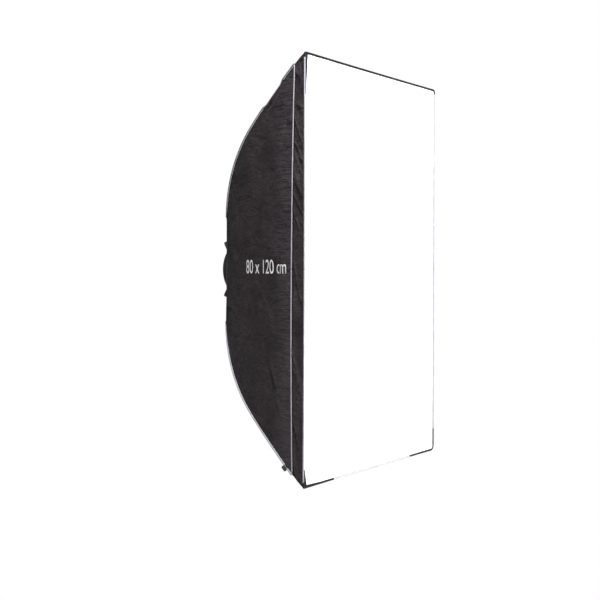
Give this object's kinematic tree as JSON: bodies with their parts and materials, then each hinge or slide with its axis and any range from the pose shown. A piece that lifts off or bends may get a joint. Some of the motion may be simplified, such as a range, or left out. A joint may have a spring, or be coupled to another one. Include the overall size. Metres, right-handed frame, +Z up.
{
  "type": "strip softbox",
  "caption": "Rectangular collapsible studio softbox with a black cloth shell, white diffusers, bowed rods and a rotating bayonet speed ring.",
  "frame": {"origin": "centre of the adapter's bore in the plane of its rear seat face, where the flash head's front rests", "axes": "+Y out of the bore, back towards the flash head; +Z up along the long side; the lit front faces -Y; +X is to the right for someone who looks at the lit front"},
  "size_m": [0.8004, 0.5337, 1.2004],
  "materials": {
    "shell_cloth": "matte woven",
    "piping": "satin tape",
    "diffuser_cloth": "matte",
    "velcro": "looped pile",
    "webbing": "woven",
    "ring_metal": "satin black anodised",
    "adapter_metal": "turned",
    "steel": "zinc plated",
    "rod_fibre": "pultruded fibre",
    "knob_plastic": "moulded",
    "tip_rubber": "moulded"
  },
  "bodies": {
    "adapter": {"bayonet_insert": "adapter_metal", "retaining_ring": "adapter_metal", "retaining_screws": "steel"},
    "speed_ring": {"speed_ring": "ring_metal", "friction_washer": "knob_plastic", "pivot_pins": "steel", "pivot_washers": "knob_plastic", "corner_piping": "piping", "lip_piping": "piping", "front_piping": "piping", "lip_velcro": "velcro", "pull_tab": "webbing", "inner_diffuser": "diffuser_cloth", "inner_straps": "webbing", "left_panel": "shell_cloth", "right_panel": "shell_cloth", "top_panel": "shell_cloth", "bottom_panel": "shell_cloth", "left_lip": "shell_cloth", "right_lip": "shell_cloth", "top_lip": "shell_cloth", "bottom_lip": "shell_cloth", "left_flap": "shell_cloth", "right_flap": "shell_cloth", "top_flap": "shell_cloth", "bottom_flap": "shell_cloth"},
    "rod_upper_left": {"rod_socket_upper_left": "ring_metal", "socket_screw_upper_left": "steel", "rod_ferrule_upper_left": "adapter_metal", "rod_upper_left": "rod_fibre", "rod_tip_upper_left": "tip_rubber", "corner_pocket_upper_left": "webbing", "strap_slider_upper_left": "knob_plastic"},
    "rod_upper_right": {"rod_socket_upper_right": "ring_metal", "socket_screw_upper_right": "steel", "rod_ferrule_upper_right": "adapter_metal", "rod_upper_right": "rod_fibre", "rod_tip_upper_right": "tip_rubber", "corner_pocket_upper_right": "webbing", "strap_slider_upper_right": "knob_plastic"},
    "rod_lower_right": {"rod_socket_lower_right": "ring_metal", "socket_screw_lower_right": "steel", "rod_ferrule_lower_right": "adapter_metal", "rod_lower_right": "rod_fibre", "rod_tip_lower_right": "tip_rubber", "corner_pocket_lower_right": "webbing", "strap_slider_lower_right": "knob_plastic"},
    "rod_lower_left": {"rod_socket_lower_left": "ring_metal", "socket_screw_lower_left": "steel", "rod_ferrule_lower_left": "adapter_metal", "rod_lower_left": "rod_fibre", "rod_tip_lower_left": "tip_rubber", "corner_pocket_lower_left": "webbing", "strap_slider_lower_left": "knob_plastic"},
    "front_diffuser": {"front_diffuser": "diffuser_cloth", "diffuser_border": "velcro"},
    "lock_knob": {"lock_knob": "knob_plastic", "lock_stud": "steel", "lock_tip": "knob_plastic"}
  },
  "joints": [
    {"name": "ring_turn", "type": "hinge", "parent": "adapter", "child": "speed_ring", "pos_m": [0, 0, 0], "axis": [0, 1, 0], "continuous": true},
    {"name": "lock_turn", "type": "hinge", "parent": "speed_ring", "child": "lock_knob", "pos_m": [0.096, -0.014, 0], "axis": [1, 0, 0], "range_deg": [0, 540]},
    {"name": "rod_fold_upper_left", "type": "hinge", "parent": "speed_ring", "child": "rod_upper_left", "pos_m": [-0.05103, -0.014, 0.07655], "axis": [0.8321, 0, 0.5547], "range_deg": [0, 52], "deforming": ["corner_piping", "lip_piping", "front_piping", "lip_velcro", "pull_tab", "inner_diffuser", "inner_straps", "front_diffuser", "diffuser_border", "left_panel", "right_panel", "top_panel", "bottom_panel", "left_lip", "right_lip", "top_lip", "bottom_lip", "left_flap", "right_flap", "top_flap", "bottom_flap"]},
    {"name": "rod_fold_upper_right", "type": "hinge", "parent": "speed_ring", "child": "rod_upper_right", "pos_m": [0.05103, -0.014, 0.07655], "axis": [0.8321, 0, -0.5547], "range_deg": [0, 52], "deforming": ["corner_piping", "lip_piping", "front_piping", "lip_velcro", "pull_tab", "inner_diffuser", "inner_straps", "front_diffuser", "diffuser_border", "left_panel", "right_panel", "top_panel", "bottom_panel", "left_lip", "right_lip", "top_lip", "bottom_lip", "left_flap", "right_flap", "top_flap", "bottom_flap"]},
    {"name": "rod_fold_lower_right", "type": "hinge", "parent": "speed_ring", "child": "rod_lower_right", "pos_m": [0.05103, -0.014, -0.07655], "axis": [-0.8321, 0, -0.5547], "range_deg": [0, 52], "deforming": ["corner_piping", "lip_piping", "front_piping", "lip_velcro", "pull_tab", "inner_diffuser", "inner_straps", "front_diffuser", "diffuser_border", "left_panel", "right_panel", "top_panel", "bottom_panel", "left_lip", "right_lip", "top_lip", "bottom_lip", "left_flap", "right_flap", "top_flap", "bottom_flap"]},
    {"name": "rod_fold_lower_left", "type": "hinge", "parent": "speed_ring", "child": "rod_lower_left", "pos_m": [-0.05103, -0.014, -0.07655], "axis": [-0.8321, 0, 0.5547], "range_deg": [0, 52], "deforming": ["corner_piping", "lip_piping", "front_piping", "lip_velcro", "pull_tab", "inner_diffuser", "inner_straps", "front_diffuser", "diffuser_border", "left_panel", "right_panel", "top_panel", "bottom_panel", "left_lip", "right_lip", "top_lip", "bottom_lip", "left_flap", "right_flap", "top_flap", "bottom_flap"]},
    {"name": "diffuser_off", "type": "slide", "parent": "speed_ring", "child": "front_diffuser", "axis": [0, -1, 0], "range_m": [0, 0.3]}
  ],
  "couplings": [
    {"joint": "rod_fold_upper_right", "follows": "rod_fold_upper_left", "ratio": 1},
    {"joint": "rod_fold_lower_right", "follows": "rod_fold_upper_left", "ratio": 1},
    {"joint": "rod_fold_lower_left", "follows": "rod_fold_upper_left", "ratio": 1}
  ]
}
